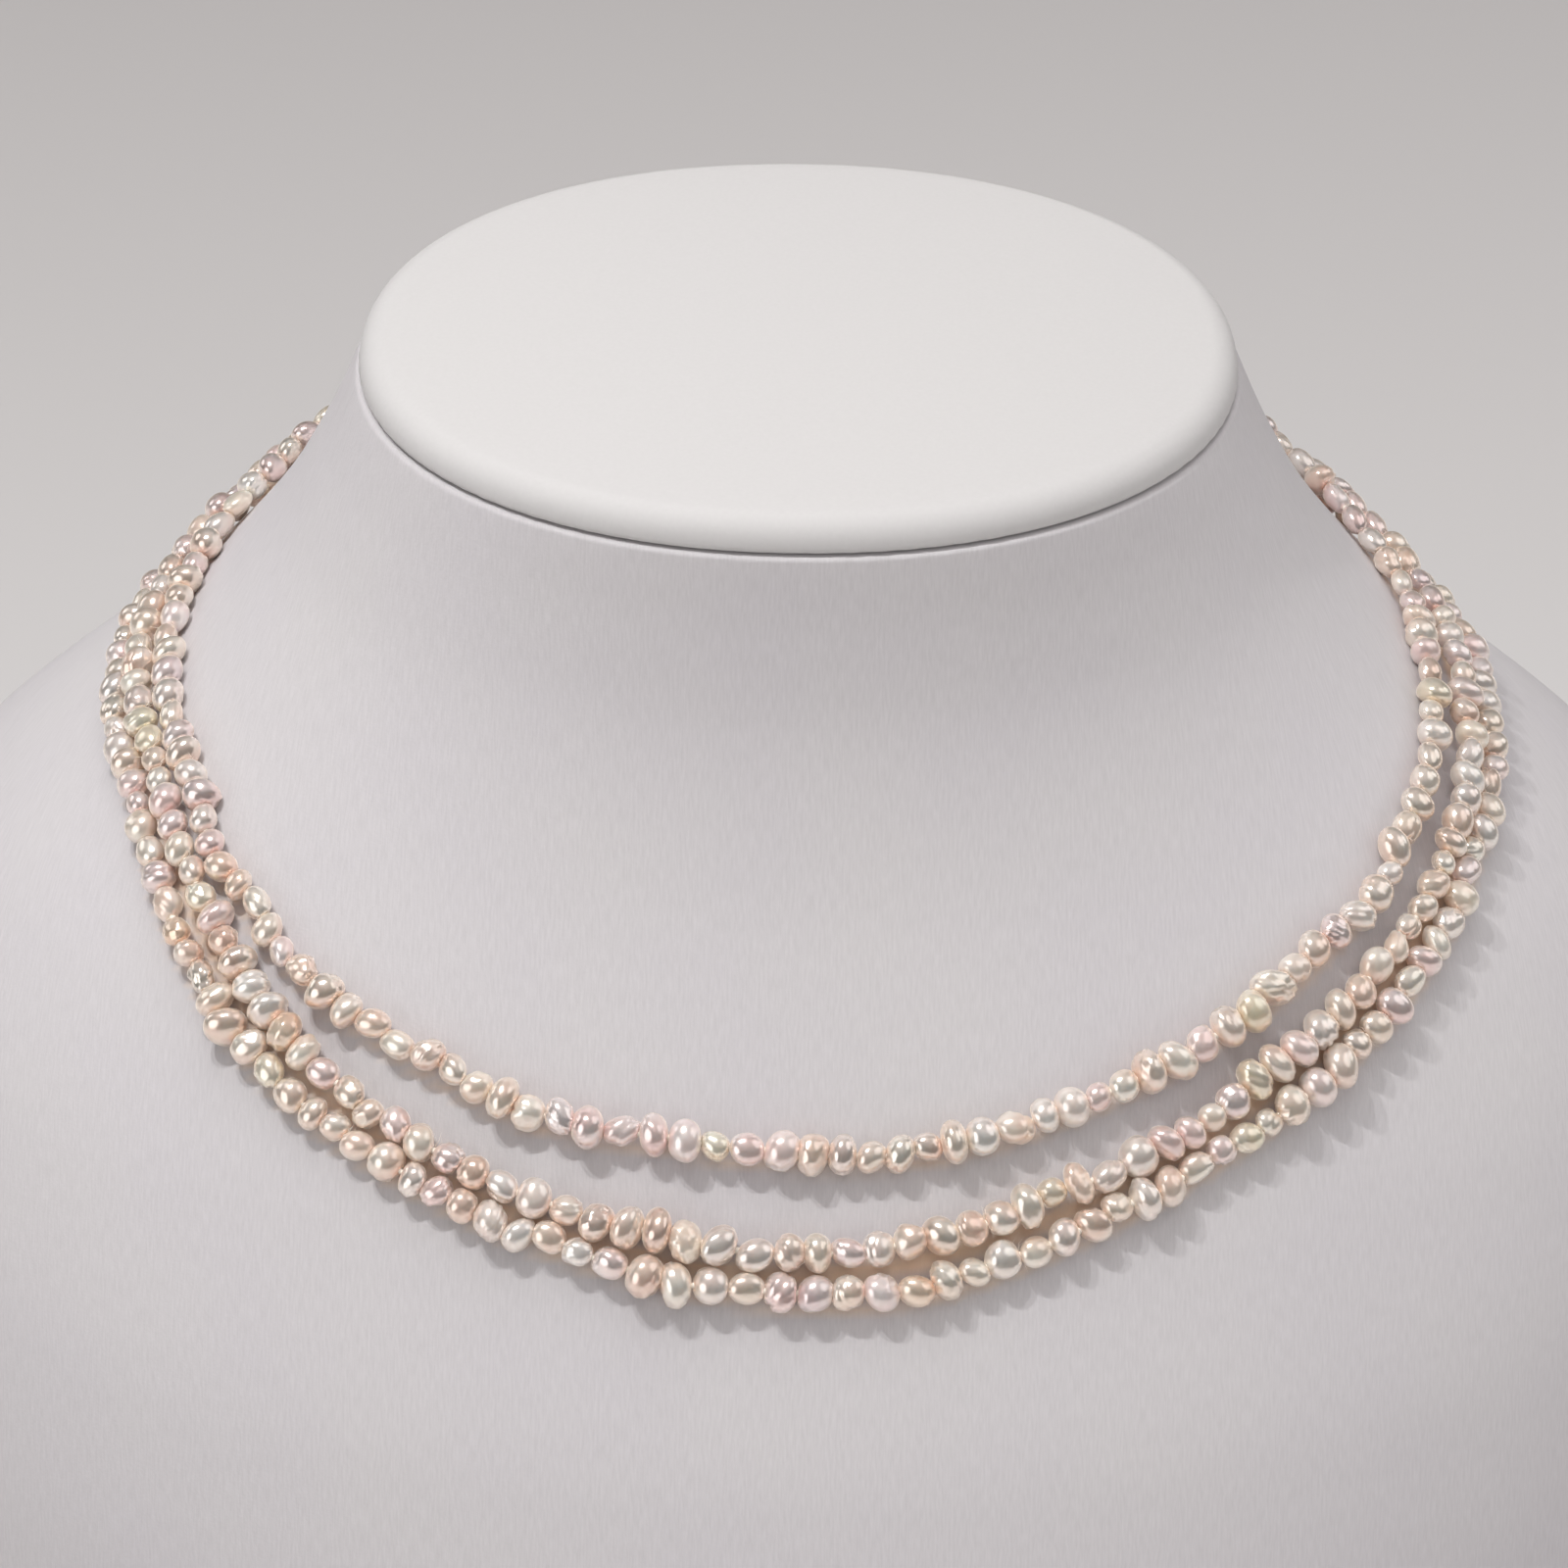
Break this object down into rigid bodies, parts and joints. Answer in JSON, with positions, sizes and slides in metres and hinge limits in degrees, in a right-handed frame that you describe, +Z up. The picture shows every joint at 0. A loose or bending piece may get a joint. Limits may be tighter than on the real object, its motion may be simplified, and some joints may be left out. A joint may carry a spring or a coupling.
{
  "type": "multi-strand pearl necklace on a neck bust",
  "caption": "Strings of small off-round freshwater pearls, joined by a box clasp at the nape, round the neck of a white padded display bust with a flat oval top.",
  "frame": {"origin": "middle of the bounding box at the bust's flat base, on the surface that it stands on", "axes": "+Z up, -Y to the front of the bust, +X to the wearer's left"},
  "size_m": [0.24, 0.1801, 0.205],
  "materials": {
    "bust_cloth": "white fine-ribbed covering, matte",
    "cap_cloth": "white fine-woven covering, matte",
    "pearl": "nacre, satin to glossy, cream, pink and lavender",
    "clasp_metal": "polished silver colour"
  },
  "bodies": {
    "root": {"bust_body": "bust_cloth", "bust_cap": "cap_cloth", "strand_inner": "pearl", "strand_middle": "pearl", "strand_outer": "pearl", "clasp": "clasp_metal"}
  },
  "joints": []
}
